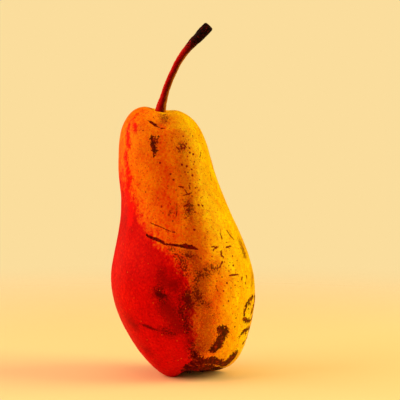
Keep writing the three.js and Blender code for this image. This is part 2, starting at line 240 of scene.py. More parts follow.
STIPPLE = [
    [(188, 291, 3), (187.5, 298, 5), (189, 304, 4)], [(195, 290, 3), (198, 297, 3.6)],
    [(202, 303, 1.6), (207, 305, 1)], [(196, 281, 2.4), (201, 275, 3.4), (207, 271, 2.4)],
    [(185, 318, 2), (187, 325, 3.2), (187, 331, 1.6)], [(182, 306, 2.4), (180, 312, 2.4)],
    [(180, 144, 0.3), (184, 147, 0.6), (180.5, 149.5, 0.6)], [(163, 115, 1.4), (166, 119, 1.4)],
    [(188, 203, 1.2), (190, 208, 2), (188, 213, 1.2)], [(187, 255, 0.6), (193, 256, 1)],
    [(171, 248, 0.6), (177, 254, 1.6), (182, 262, 2), (185, 272, 2.4)],
    [(211, 267, 1.2), (217, 268, 0.6)], [(192, 343, 1.2), (192, 350, 2.6), (193, 356, 3.4)],
    [(241, 244, 1), (244, 254, 1.4)], [(166, 331, 1.4), (171, 332.5, 1)], [(159, 288, 2), (163, 300, 1.6)],
]
RED_STREAK = [
    [(137, 114, 1), (133, 120, 1.8)],
    [(134.5, 125, 3), (135.5, 131, 2.4)],
    [(129, 125, 2), (127.5, 134, 3), (128, 142, 3.4), (129, 147, 2.8)], [(126, 152, 2.6), (126, 160, 3.6)],
    [(127, 166, 3), (128, 172, 3.4)], [(129.5, 178, 4), (128, 186, 4)], [(126, 190, 3), (129, 198, 3.8)],
    [(131, 205, 4.8), (130, 222, 5)],
]
# A dull band down the front where the red meets the yellow: partly the skin's own dull tone, partly painted
# shade where neither side lamp reaches.
DULL_AND_SHADED_BAND = [
    [(171, 112, 5), (177, 126, 6.5), (181, 142, 6.5), (184, 160, 6), (187, 180, 6.5), (191, 200, 7),
     (195, 222, 8), (196, 245, 9), (197, 270, 10), (198, 300, 8), (198, 320, 6)],
]
FLUSH = [
    [(160, 128, 2), (163, 150, 3.5), (166, 175, 5), (167, 205, 10), (168, 235, 12)],
    [(168, 244, 6), (176, 253, 8), (184, 264, 9), (189, 280, 8)],
]
# Dark lenticels that the photograph shows one by one, as pixels (x, y) under the radius of the spot, also in
# pixels. They sit sunk into the skin, so that a wider bump is needed to show this much of it.
DOT_SPREAD = 1.5
DARK_DOTS = {
    0.4: [
        (188.5, 140), (197.8, 173), (201, 197.8), (229, 265.5), (237, 260.5), (247.5, 288), (223.5, 305.6),
        (153.5, 117.5), (207, 327), (243, 296.5), (221, 240), (238, 309), (231, 344), (224.5, 262),
        (228, 259), (230, 262.5), (226, 268), (236, 270), (233, 279), (219, 273), (217, 281), (241, 291),
        (219, 296), (233, 297), (187, 118), (190.5, 125), (186, 131), (196, 141), (198, 148), (181, 158),
        (181, 176), (188, 178), (199, 190), (203, 215), (186, 228), (178, 196), (168, 186), (176, 190),
        (158, 198), (168, 232), (156, 222), (190.4, 160.2), (184.6, 152.4), (188, 172.4),
    ],
    0.5: [
        (192.8, 136), (194.4, 161.8), (193.6, 164.2), (199.6, 179.5), (197.2, 187.3), (211, 220),
        (226.8, 242.3), (229, 271), (193, 262.8), (181.5, 256.8), (212, 256.5), (240, 286.5), (213, 315.3),
        (163, 213), (174, 213), (170.5, 204), (145.5, 192), (143, 130.5), (197, 316), (205, 345),
        (216, 268), (186, 218), (223, 258), (238, 281.5), (222, 277), (231, 288), (194, 130), (185, 172),
        (192, 196), (199, 222), (205, 238), (187.6, 156.4),
    ],
    0.6: [
        (183.3, 136.3), (191.6, 169.3), (195.5, 187.8), (190, 183.5), (195, 212), (172.8, 221),
        (207.5, 231.8), (232.5, 256), (201, 258.6), (235, 285.2), (223.6, 291), (228.5, 301), (236, 318),
        (161.5, 206.8),
    ],
    0.7: [
        (186.3, 143.8), (189.5, 148), (170.5, 174), (173.6, 179.7), (160, 162.8), (202.6, 205.7),
        (233.4, 265.4), (227, 283), (234.7, 326.6),
    ],
    0.8: [
        (184.5, 148), (189.9, 152.6), (193.3, 154.2), (182, 164.6), (186.8, 166.2), (192.4, 175.3),
        (198.7, 205),
    ],
    0.9: [(194.4, 229.8)],
}

# Where the ground colour turns from yellow to orange, and the blush from orange to red: (height, x), both in
# millimetres. The colours are those from the one side to the other. The red on the left is partly the skin's
# own blush and partly painted red lamp light, as if lit from the left.
ORANGE_EDGE = [
    (0, 14), (19, 18), (30, 18.5), (46, 20.5), (58, 13.5), (75, 7), (96, 2.6), (111, -0.5), (117, -6),
    (120, -12), (122, -16),
]
RED_EDGE = [
    (0, 7), (10.5, 6), (19, 5), (38.6, 3), (44, 2), (50, -0.5), (56, -4.5), (60, -8.5), (63, -12),
    (75, -19.5), (84, -25), (92, -29), (104, -36),
]
LEAST_RED = 0.05
# Partly the skin's own blush, partly painted red lamp light on the left side.
BLUSH_AND_RED_LAMP_COLOURS = [
    (0.0, "#ffe400"), (0.12, "#ffca00"), (0.3, "#faa600"), (0.46, "#f67e00"), (0.58, "#f05400"),
    (0.7, "#e62a00"), (0.82, "#da0600"), (1.0, "#ba0000"),
]
# The turn to red is softer between these heights and above them, by this share.
SOFTER_ABOVE = (52, 84)
SOFTER_BY = 0.55
# Dullness and marks that lie over the blush, the wide soft ones first: (mark, softness of its edge, how far
# the edge wanders, size of the patches that it wanders round, how much of the mark shows, how far it is
# stretched along the fruit, colour, how it is laid on). The lengths are in millimetres. The two band layers
# darken the front where the red meets the yellow: partly the skin's dull tone, partly painted shade where
# neither side lamp reaches.
SKIN_LAYERS = [
    ("dull_band", 3.6, 2.0, 3.0, 0.28, 1.5, "#d89860", "MULTIPLY"),
    ("dull_band", 3.5, 5.0, 0.9, 0.28, 1.4, "#b8601c", "MULTIPLY"),
    ("cloud", 3.5, 1.0, 2.0, 0.25, 1.0, "#b04400", "MIX"),
    ("cloud", 0.7, 4.2, 0.6, 0.4, 1.0, "#7a1c00", "MIX"),
    ("smudge", 4.0, 1.5, 2.2, 0.6, 1.0, "#840000", "MIX"),
    ("smudge", 1.6, 4.0, 0.7, 0.4, 1.0, "#640200", "MIX"),
    ("stipple", 0.9, 3.2, 0.7, 0.78, 1.3, "#480400", "MIX"),
]

# The paper floor reaches this far from its middle, in metres, and fades out between these distances from the
# fruit, in millimetres. The soft boxes all look at one point: (name, place, size, power, colour), in metres
# and watts.
BACKDROP = "#fbdd9c"
PAPER = "#ffe4b4"
PAPER_HALF = 1.0
PAPER_FADES = (120.0, 420.0)
LIT_POINT = Vector((0, 0, 0.07))
SOFT_BOXES = [
    ("left_soft_box", (-0.7, -0.15, 0.42), (0.8, 0.7), 7.2, "#ffccb0"),
    ("right_soft_box", (0.7, -0.05, 0.42), (0.5, 0.7), 6.0, "#fff0a0"),
    ("left_rim_box", (-0.6, 0.45, 0.2), (0.25, 0.6), 1.7, "#ffc898"),
    ("front_fill", (-0.15, -0.6, 1.1), (0.8, 0.8), 2.2, "#ffd098"),
    ("top_soft_box", (0, 0.1, 1.1), (1.2, 1.2), 4.5, "#ffe0b0"),
]

# The mesh of the skin: rows from the stem cavity to the calyx basin, and columns round it, which are this
# much closer together at the front. Near the crisp marks its faces are split in four, twice.
SKIN_ROWS = 262
SKIN_COLUMNS = 288
FRONT = math.radians(270)
FRONT_CROWDING = 0.35
SPLIT_WITHIN = (0.55, 0.3)
# The relief grows between these heights, so that the spots that the pear stands on stay flat. Lenticels are
# scarcer on the red side, between these x, and there are none at the foot, between these heights.
FLAT_FOOT = (0.4, 6)
FRECKLED_SIDE = (-20, 10)
FEWEST_FRECKLES = 0.35
BARE_FOOT = (0.8, 2)
# Marks are told apart up to this far from their edge.
FURTHEST = 20


def smooth_step(low, high, x):
    t = np.clip((x - low) / (high - low), 0, 1)
    return t * t * (3 - 2 * t)


def along(stations, place):
    """The value at a place between stations, which are joined by smooth cubic pieces."""
    at, value = np.array(stations, float).T
    last = len(at) - 1
    before = np.maximum(np.arange(last + 1) - 1, 0)
    after = np.minimum(np.arange(last + 1) + 1, last)
    slope = (value[after] - value[before]) / (at[after] - at[before])
    inside = np.clip(place, at[0], at[-1])
    i = np.clip(np.searchsorted(at, inside, side="right") - 1, 0, last - 1)
    span = at[i + 1] - at[i]
    t = (inside - at[i]) / span
    return (
        (2 * t**3 - 3 * t**2 + 1) * value[i] + (t**3 - 2 * t**2 + t) * span * slope[i]
        + (3 * t**2 - 2 * t**3) * value[i + 1] + (t**3 - t**2) * span * slope[i + 1]
    )


def line_through(points, before, after, t):
    """Points on the smooth line through a list of points, at the shares t of the way."""
    every = np.array([before, *points, after], float)
    place = np.clip(t, 0, 1) * (len(points) - 1)
    i = np.minimum(np.floor(place).astype(int), len(points) - 2)
    f = (place - i)[..., None]
    a, b, c, d = (every[i + k] for k in range(4))
    return b + 0.5 * f * (c - a + f * (2 * a - 5 * b + 4 * c - d + f * (3 * (b - c) + d - a)))


def skin_points(t, angle):
    """Points of the skin: t runs from the stem cavity to the calyx basin, and angle goes round from +X."""
    t, angle = np.broadcast_arrays(np.asarray(t, float), np.asarray(angle, float))
    ends = [(-radius, height) for radius, height in (OUTLINE[1], OUTLINE[-2])]
    line = line_through(OUTLINE, *ends, t)
    share = line[..., 1]
    radius, height = line[..., 0] * HALF_WIDTH, share * FRUIT_HEIGHT
    lumps = sum(
        size * np.sin(around * angle + start + twist * share) for size, around, start, twist in LUMPS
    )
    lumpy = radius * (1 + lumps * smooth_step(0, LUMPS_FADE_BELOW, radius))
    x, y = lumpy * np.cos(angle), lumpy * np.sin(angle) * DEPTH_SHARE
    near_base = (1 - smooth_step(0, LOBES_BELOW, share)) * smooth_step(*BASIN_EDGE, radius)
    near_shoulder = smooth_step(SHOULDER_ABOVE, 1, share) * smooth_step(*CAVITY_EDGE, radius)
    groove = LOBE_DEPTH * 0.5 * (1 - np.cos(LOBES * (angle - LOBE_AT)))
    raised = RAISED_BY * smooth_step(*RAISED_EDGE, 0.5 + 0.5 * np.cos(angle - RAISED_AT))
    z = (
        height + along(TIP_X, share) * x + along(TIP_Y, share) * y + (groove + raised) * near_base
        + SHOULDER_DIP * np.cos(2 * angle) * near_shoulder - RESTING_FLAT
    )
    middle_x, middle_y = along(MIDDLE_X, share) * HALF_WIDTH, along(MIDDLE_Y, share) * HALF_WIDTH
    return np.stack([middle_x + x, middle_y + y, np.maximum(z, 0)], -1)


cavity_middle = skin_points(0, 0)
basin_middle = skin_points(1, 0)


def new_object(name, mesh):
    made = bpy.data.objects.new(name, mesh)
    bpy.context.scene.collection.objects.link(made)
    return made


def skin_mesh():
    """The bare skin, closed by one point in the cavity and one in the basin."""
    grid = np.linspace(0, 1, 4001)
    path = skin_points(grid, FRONT)
    length = np.concatenate([[0], np.cumsum(np.linalg.norm(np.diff(path, axis=0), axis=1))])
    t = np.interp(np.linspace(0, length[-1], SKIN_ROWS + 1)[1:-1], length, grid)
    even = np.linspace(0, TURN, SKIN_COLUMNS, endpoint=False)
    angle = even - FRONT_CROWDING * np.sin(even - FRONT)
    rings = skin_points(t[:, None], angle[None, :]).reshape(-1, 3)
    points = np.concatenate([[cavity_middle], rings, [basin_middle]])
    faces = []
    for row in range(len(t) - 1):
        start = 1 + row * SKIN_COLUMNS
        for column in range(SKIN_COLUMNS):
            beside = (column + 1) % SKIN_COLUMNS
            below = start + SKIN_COLUMNS
            faces.append((start + column, below + column, below + beside, start + beside))
    last_ring = 1 + (len(t) - 1) * SKIN_COLUMNS
    for column in range(SKIN_COLUMNS):
        beside = (column + 1) % SKIN_COLUMNS
        faces.append((0, 1 + column, 1 + beside))
        faces.append((len(points) - 1, last_ring + beside, last_ring + column))
    mesh = bpy.data.meshes.new("skin")
    mesh.from_pydata((points * MM).tolist(), [], faces)
    mesh.update()
    return mesh


bare_skin = skin_mesh()
skin_tree = BVHTree.FromPolygons(
    [v.co.copy() for v in bare_skin.vertices], [tuple(p.vertices) for p in bare_skin.polygons]
)


def seen_at(x, y):
    """The point of the skin that the camera sees at a pixel, in millimetres, and the way out of the skin."""
    side = (x - PHOTO_PIXELS / 2) * PIXEL
    up = (PHOTO_PIXELS / 2 - y) * PIXEL
    target = CAMERA_AIM + np.array([side, 0, 0]) + up * CAMERA_UP
    start = Vector(CAMERA_PLACE * MM)
    ray = Vector(target * MM) - start
    place, normal, _, _ = skin_tree.ray_cast(start, ray.normalized())
    if place is None:
        place, normal, _, _ = skin_tree.find_nearest(Vector(target * MM))
    return np.array(place) / MM, np.array(normal)


def far_at(degrees, height):
    """The point of the skin at an angle round the fruit and a height, in millimetres."""
    share = height / FRUIT_HEIGHT
    middle = Vector((along(MIDDLE_X, share) * HALF_WIDTH, along(MIDDLE_Y, share) * HALF_WIDTH, height)) * MM
    way = Vector((math.cos(math.radians(degrees)), math.sin(math.radians(degrees)), 0))
    place = skin_tree.ray_cast(middle + way, -way)[0]
    return np.array(place) / MM


def strokes_of(marks, far_marks=()):
    """The straight pieces of lists of marks: (start, run, half width at the start, at the end), in mm."""
    paths = [[(seen_at(x, y)[0], half * PIXEL) for x, y, half in mark] for mark in marks]
    paths += [[(far_at(angle, height), half) for angle, height, half in mark] for mark in far_marks]
    strokes = []
    for path in paths:
        for (start, thick), (end, thin) in zip(path, path[1:]):
            strokes.append((start, end - start, thick, thin))
    return strokes


def depth_inside(points, strokes):
    """How far inside the nearest stroke each point is, in millimetres. It is negative outside."""
    deepest = np.full(len(points), -1e3)
    for start, run, thick, thin in strokes:
        offset = points - start
        share = np.clip(offset @ run / max(run @ run, 1e-9), 0, 1)
        away = np.linalg.norm(offset - share[:, None] * run, axis=1)
        deepest = np.maximum(deepest, thick + share * (thin - thick) - away)
    return deepest


def beyond(points, edge):
    """How far on the -X side of an edge each point is, in millimetres. The edge is a list of (height, x)."""
    heights, sides = np.array(edge, float).T
    return np.interp(points[:, 2], heights, sides) - points[:, 0]


def split_near(mesh, strokes, reach):
    """Splits the faces within reach of the strokes in four."""
    work = bmesh.new()
    work.from_mesh(mesh)
    centres = np.array([face.calc_center_median() for face in work.faces]) / MM
    near = depth_inside(centres, strokes) > -reach
    edges = {edge for face, inside in zip(work.faces, near) if inside for edge in face.edges}
    bmesh.ops.subdivide_edges(work, edges=list(edges), cuts=1, use_grid_fill=True)
    work.to_mesh(mesh)
    work.free()


def srgb(text):
    """A colour written as #rrggbb, as the shader's linear values."""
    shares = [int(text[i : i + 2], 16) / 255 for i in (1, 3, 5)]
    linear = [c / 12.92 if c <= 0.04045 else ((c + 0.055) / 1.055) ** 2.4 for c in shares]
    return (*linear, 1.0)


def fill(tree, node, inputs):
    """Gives a node its inputs, by name, number or order: a value, or the node or socket that is linked."""
    for key, value in inputs.items() if isinstance(inputs, dict) else enumerate(inputs):
        named = [s for s in node.inputs if s.name == key and s.enabled]
        socket = named[0] if named else node.inputs[key]
        if isinstance(value, bpy.types.Node):
            value = next(s for s in value.outputs if s.enabled)
        if isinstance(value, bpy.types.NodeSocket):
            tree.links.new(value, socket)
        else:
            socket.default_value = value


def add(tree, kind, inputs=None, **settings):
    """Adds a node with its settings and links."""
    made = tree.nodes.new(kind)
    for name, value in settings.items():
        setattr(made, name, value)
    fill(tree, made, inputs or [])
    return made


def ramp(tree, factor, stops):
    """A colour ramp: stops are (place, colour)."""
    made = add(tree, "ShaderNodeValToRGB", {"Fac": factor})
    band = made.color_ramp
    while len(band.elements) < len(stops):
        band.elements.new(0.5)
    for element, (place, colour) in zip(band.elements, stops):
        element.position, element.color = place, srgb(colour)
    return made


def new_material(name):
    material = bpy.data.materials.new(name)
    material.use_nodes = True
    tree = material.node_tree
    shader = next(n for n in tree.nodes if n.type == "BSDF_PRINCIPLED")
    place = add(tree, "ShaderNodeTexCoord").outputs["Object"]
    in_mm = add(tree, "ShaderNodeVectorMath", {0: place, "Scale": 1 / MM}, operation="SCALE")
    return material, tree, shader, in_mm


def pear_skin():
    """Pear skin, ripened on the tree: yellow ground colour, red towards the left, which is partly the skin's
    own blush and partly painted red lamp light from that side. It is dull and mottled where the two meet,
    partly with painted shade between the two side lamps. The thin wax makes it satin, without a sharp
    highlight. Scars and russet are cork, so they are brown and matte; round the basin and along the front of
    the foot the dark cork is also painted shade under the fruit."""
    material, tree, shader, place = new_material("waxy pear skin")
    math_, noise, fit = "ShaderNodeMath", "ShaderNodeTexNoise", "ShaderNodeMapRange"

    def mottle(grain_mm, detail=2.0, stretch=1.0):
        """Noise with patches of this size, in millimetres, stretched along the fruit."""
        at = add(tree, "ShaderNodeMapping", {"Vector": place, "Scale": (1, 1, 1 / stretch)})
        return add(tree, noise, {"Vector": at, "Scale": 1 / grain_mm, "Detail": detail, "Roughness": 0.6})

    def between(value, low, high, bottom=0.0, top=1.0, steps="SMOOTHSTEP"):
        inputs = {"Value": value, "From Min": low, "From Max": high, "To Min": bottom, "To Max": top}
        return add(tree, fit, inputs, interpolation_type=steps)

    def blend(factor, under, over, how="MIX"):
        return add(tree, "ShaderNodeMix", {"Factor": factor, "A": under, "B": over}, data_type="RGBA",
                   blend_type=how)

    # An attribute holds how deep inside a mark a place is, in millimetres. Noise makes the edge ragged.
    def mark(name, edge_mm, ragged_mm, grain_mm, most, stretch=1.0):
        depth = add(tree, "ShaderNodeAttribute", attribute_name=name).outputs["Fac"]
        wander = between(mottle(grain_mm, 4, stretch), 0.3, 0.7, -ragged_mm, ragged_mm, "LINEAR")
        inside = add(tree, math_, [depth, wander], operation="ADD")
        return between(inside, -edge_mm, edge_mm, 0.0, most)

    # How red a place is: the sum of the turns to orange and to red, of a flush and of unevenness.
    redness = LEAST_RED
    for share in (
        mark("orange", 6.0, 2.4, 2.4, 0.36, 1.6), mark("red", 4.0, 2.8, 2.0, 0.46, 1.4),
        mark("flush", 4.0, 2.0, 3.0, 0.12, 1.4), between(mottle(13, 2), 0.3, 0.7, -0.05, 0.05, "LINEAR"),
        between(mottle(1.0, 3), 0.32, 0.68, -0.12, 0.12, "LINEAR"),
    ):
        redness = add(tree, math_, [redness, share], operation="ADD")
    skin = ramp(tree, redness, BLUSH_AND_RED_LAMP_COLOURS)
    skin = blend(mark("red_streak", 0.9, 1.2, 1.2, 0.95), skin, srgb("#ea0600"))
    skin = blend(between(mottle(5, 4, 2.2), 0.36, 0.66, 0.0, 0.4), skin, srgb("#dc8060"), "MULTIPLY")

    # Flecks of pigment, dark ones a millimetre and a half apart and fainter pale ones, and a finer grain.
    dark = add(tree, "ShaderNodeTexVoronoi", {"Vector": place, "Scale": 1 / 1.5, "Randomness": 1.0})
    skin = blend(between(dark.outputs["Distance"], 0.1, 0.26, 0.6, 0.0), skin, srgb("#b03400"), "MULTIPLY")
    pale = add(tree, "ShaderNodeTexVoronoi", {"Vector": place, "Scale": 1 / 1.15, "Randomness": 1.0})
    skin = blend(between(pale.outputs["Distance"], 0.05, 0.22, 0.2, 0.0), skin, srgb("#f83c08"))
    skin = blend(between(mottle(0.5, 3), 0.38, 0.6, 0.4, 0.0), skin, srgb("#cc6a30"), "MULTIPLY")

    for name, edge, ragged, grain, most, stretch, colour, how in SKIN_LAYERS:
        skin = blend(mark(name, edge, ragged, grain, most, stretch), skin, srgb(colour), how)

    # Cork: raised russet, russet in the basin that is partly painted shade under the foot, healed and thin
    # scars, and the open dark ones.
    cork = ramp(tree, mottle(1.3, 4), [(0.38, "#260000"), (0.52, "#500200"), (0.68, "#a02c00")])
    basin_cork_and_shade = ramp(tree, mottle(1.1, 4), [(0.36, "#4c1404"), (0.5, "#7c3408"), (0.66, "#b06c24")])
    scar_cork = ramp(tree, mottle(1.2, 3), [(0.42, "#2c0002"), (0.6, "#7c0400")])
    russet = mark("russet", 0.25, 1.1, 0.9, 0.95)
    gash = mark("gash", 0.12, 0.3, 0.8, 0.97)
    skin = blend(russet, skin, cork)
    skin = blend(mark("basin_russet", 1.5, 5.0, 2.4, 0.8), skin, basin_cork_and_shade)
    skin = blend(mark("healed_gash", 0.55, 0.5, 0.8, 0.85), skin, srgb("#4e0000"))
    skin = blend(mark("scratch", 0.1, 0.24, 0.7, 0.95), skin, srgb("#7a0a00"))
    skin = blend(gash, skin, scar_cork)

    corky = add(tree, math_, [russet, gash], operation="MAXIMUM")
    pores = between(mottle(0.45, 2), 0.3, 0.7, 0.0, 1.0)
    bump = add(tree, "ShaderNodeBump", {"Height": pores, "Strength": 0.25, "Distance": 0.05 * MM})
    fill(tree, shader, {
        "Base Color": skin, "Roughness": between(corky, 0, 1, 0.5, 0.8), "Normal": bump, "IOR": 1.42,
        "Specular IOR Level": 0.03, "Subsurface Weight": 0.05, "Subsurface Radius": (1.0, 0.35, 0.1),
        "Subsurface Scale": 1.5 * MM})
    return material


def lenticel_cork():
    """Cork of the lenticels, the pores in the skin: matte, and brown in all depths."""
    material, tree, shader, _ = new_material("cork of the lenticels")
    tone = add(tree, "ShaderNodeAttribute", attribute_name="tone").outputs["Fac"]
    colour = ramp(tree, tone, [(0.0, "#7c0800"), (0.5, "#a42400"), (1.0, "#cc5c00")])
    fill(tree, shader, {"Base Color": colour, "Roughness": 0.75, "Specular IOR Level": 0.07})
    return material


def stalk_bark():
    """Bark of the stalk: thin and smooth, red on the side that faces left and up, which is painted red lamp
    light from that side, olive brown on the other side, with fibres along it, and dried nearly black towards
    the cut end."""
    material, tree, shader, place = new_material("stalk bark")
    sunny = add(tree, "ShaderNodeAttribute", attribute_name="sunny").outputs["Fac"]
    share = add(tree, "ShaderNodeAttribute", attribute_name="along").outputs["Fac"]
    fibre = add(tree, "ShaderNodeTexNoise", {
        "Vector": place, "Scale": 1.1, "Detail": 4.0, "Roughness": 0.65})
    wander = add(tree, "ShaderNodeMath", [fibre, 0.5], operation="SUBTRACT")
    side = add(tree, "ShaderNodeMath", [wander, 0.4, sunny], operation="MULTIPLY_ADD")
    # Red on the side that faces the lamp's way, olive brown away from it: the red is painted lamp light.
    sides = ramp(tree, side, [(0.14, "#bc6c00"), (0.34, "#843c00"), (0.46, "#580400"), (0.6, "#7a0000"),
                              (0.76, "#a80400"), (1.0, "#c00c00")])
    dark = add(tree, "ShaderNodeMath", [wander, 0.5, share], operation="MULTIPLY_ADD")
    dried = add(tree, "ShaderNodeMapRange", {"Value": dark, "From Min": 0.68, "From Max": 0.8},
                interpolation_type="SMOOTHSTEP")
    end = ramp(tree, fibre, [(0.42, "#050001"), (0.54, "#1e0202"), (0.62, "#440402"), (0.74, "#8c2408")])
    colour = add(tree, "ShaderNodeMix", {"Factor": dried, "A": sides, "B": end}, data_type="RGBA")
    bump = add(tree, "ShaderNodeBump", {"Height": fibre, "Strength": 0.4, "Distance": 0.12 * MM})
    fill(tree, shader, {
        "Base Color": colour, "Roughness": 0.55, "Specular IOR Level": 0.04, "Normal": bump})
    return material


def dried_leaf():
    """Dried sepals and stamens: thin, curled and brittle, dark brown with paler edges and flecks, matte."""
    material, tree, shader, place = new_material("dried calyx")
    grain = add(tree, "ShaderNodeTexNoise", {"Vector": place, "Scale": 1.6, "Detail": 4.0, "Roughness": 0.7})
    colour = ramp(tree, grain, [(0.3, "#1a0c08"), (0.5, "#3e2114"), (0.7, "#7a5636")])
    bump = add(tree, "ShaderNodeBump", {"Height": grain, "Strength": 0.5, "Distance": 0.15 * MM})
    fill(tree, shader, {
        "Base Color": colour, "Roughness": 0.85, "Specular IOR Level": 0.2, "Normal": bump})
    return material


SOCKET_KINDS = [
    (float, "Float"), (int, "Int"), (tuple, "Vector"), (bpy.types.Material, "Material"),
    (bpy.types.Object, "Object"),
]


def close_tree(tree, geometry, material):
    """Ends a geometry tree: what it made becomes one plain mesh of this material."""
    whole = add(tree, "GeometryNodeRealizeInstances", {"Geometry": geometry})
    dressed = add(tree, "GeometryNodeSetMaterial", {"Geometry": whole, "Material": material})
    add(tree, "NodeGroupOutput", {"Geometry": dressed})
    return tree


def new_tree(name, values):
    """An empty geometry tree with an input for a shape and one for each of the named values."""
    tree = bpy.data.node_groups.new(name, "GeometryNodeTree")
    tree.interface.new_socket("Geometry", in_out="INPUT", socket_type="NodeSocketGeometry")
    for label, value in values.items():
        kind = next(kind for held, kind in SOCKET_KINDS if isinstance(value, held))
        tree.interface.new_socket(label, in_out="INPUT", socket_type="NodeSocket" + kind)
    tree.interface.new_socket("Geometry", in_out="OUTPUT", socket_type="NodeSocketGeometry")
    return tree, add(tree, "NodeGroupInput").outputs


def grow(carrier, plan, values):
    """Runs a geometry tree with these values on an object and keeps the result as its plain mesh. plan is
    the function that makes the tree."""
    tree = plan(values)
    modifier = carrier.modifiers.new("grow", "NODES")
    modifier.node_group = tree
    for item in tree.interface.items_tree:
        if item.in_out == "INPUT" and item.name in values:
            modifier[item.identifier] = values[item.name]
    graph = bpy.context.evaluated_depsgraph_get()
    made = bpy.data.meshes.new_from_object(
        carrier.evaluated_get(graph), preserve_all_data_layers=True, depsgraph=graph
    )
    made.name = carrier.name
    material = values["Material"]
    if carrier.type == "MESH":
        carrier.modifiers.clear()
        carrier.data = made
        grown = carrier
    else:
        name = carrier.name
        bpy.data.objects.remove(carrier)
        grown = new_object(name, made)
    if not grown.data.materials:
        grown.data.materials.append(material)
    grown.data.shade_smooth()
    return grown


def relief_tree(values):
    """Skin relief: gentle unevenness everywhere, pores, sunken scars and raised russet."""
    tree, given = new_tree("skin relief", values)
    math_ = "ShaderNodeMath"

    def swell(size, height):
        scale = add(tree, math_, [1.0, size], operation="DIVIDE")
        noise = add(tree, "ShaderNodeTexNoise", {"Scale": scale, "Detail": 2.0})
        centred = add(tree, math_, [noise, 0.5], operation="SUBTRACT")
        return add(tree, math_, [centred, height], operation="MULTIPLY")

    uneven = swell(given["Patch"], given["Unevenness"])
    pores = swell(given["Pore size"], given["Pore depth"])
    height = add(tree, math_, [uneven, pores], operation="ADD")
    for name, size, edge, way in (
        ("gash", "Gash depth", 0.3, -1.0), ("scratch", "Scratch depth", 0.2, -1.0),
        ("russet", "Russet height", 0.6, 1.0),
    ):
        depth = add(tree, "GeometryNodeInputNamedAttribute", {"Name": name})
        inside = add(tree, "ShaderNodeMapRange", {
            "Value": depth, "From Min": -edge, "From Max": edge, "To Min": 0.0, "To Max": way},
            interpolation_type="SMOOTHSTEP")
        height = add(tree, math_, {0: inside, 1: given[size], 2: height}, operation="MULTIPLY_ADD")
    free = add(tree, "GeometryNodeInputNamedAttribute", {"Name": "free"})
    height = add(tree, math_, [height, free], operation="MULTIPLY")
    normal = add(tree, "GeometryNodeInputNormal")
    move = add(tree, "ShaderNodeVectorMath", {0: normal, "Scale": height}, operation="SCALE")
    moved = add(tree, "GeometryNodeSetPosition", {"Geometry": given["Geometry"], "Offset": move})
    return close_tree(tree, moved, given["Material"])


def lenticel_tree(values):
    """Lenticels: low bumps of cork, scattered over the skin, and set where the marked points are."""
    tree, given = new_tree("lenticels", values)
    share = add(tree, "GeometryNodeInputNamedAttribute", {"Name": "freckled"})
    scatter = add(tree, "GeometryNodeDistributePointsOnFaces", {
        "Mesh": given["Geometry"], "Distance Min": given["Spacing"], "Density Max": given["Density"],
        "Density Factor": share, "Seed": given["Seed"]}, distribute_method="POISSON")
    size = add(tree, "FunctionNodeRandomValue", {
        "Min": given["Smallest"], "Max": given["Largest"], "Seed": given["Seed"]})
    flat = add(tree, "ShaderNodeCombineXYZ", [1.0, 1.0, given["Lowness"]])
    bump = add(tree, "GeometryNodeMeshIcoSphere", {"Radius": 1.0, "Subdivisions": 2})
    low = add(tree, "GeometryNodeTransform", {"Geometry": bump.outputs["Mesh"], "Scale": flat})
    random_ones = add(tree, "GeometryNodeInstanceOnPoints", {
        "Points": scatter.outputs["Points"], "Instance": low, "Rotation": scatter.outputs["Rotation"],
        "Scale": size})
    tone = add(tree, "FunctionNodeRandomValue", {"Min": 0.1, "Max": 1.0, "Seed": given["Seed"]})
    toned = add(tree, "GeometryNodeStoreNamedAttribute", {
        "Geometry": random_ones, "Name": "tone", "Value": tone}, domain="INSTANCE")
    marked = add(tree, "GeometryNodeObjectInfo", {"Object": given["Marked points"]})
    points = add(tree, "GeometryNodeMeshToPoints", {"Mesh": marked.outputs["Geometry"]})
    outward = add(tree, "GeometryNodeInputNamedAttribute", {"Name": "outward"}, data_type="FLOAT_VECTOR")
    turned = add(tree, "FunctionNodeAlignRotationToVector", {"Vector": outward}, axis="Z")
    radius = add(tree, "GeometryNodeInputNamedAttribute", {"Name": "radius_m"})
    set_ones = add(tree, "GeometryNodeInstanceOnPoints", {
        "Points": points, "Instance": low, "Rotation": turned, "Scale": radius})
    dark = add(tree, "GeometryNodeStoreNamedAttribute", {
        "Geometry": set_ones, "Name": "tone", "Value": 0.1}, domain="INSTANCE")
    both = add(tree, "GeometryNodeJoinGeometry", {"Geometry": toned})
    fill(tree, both, {"Geometry": dark})
    return close_tree(tree, both, given["Material"])


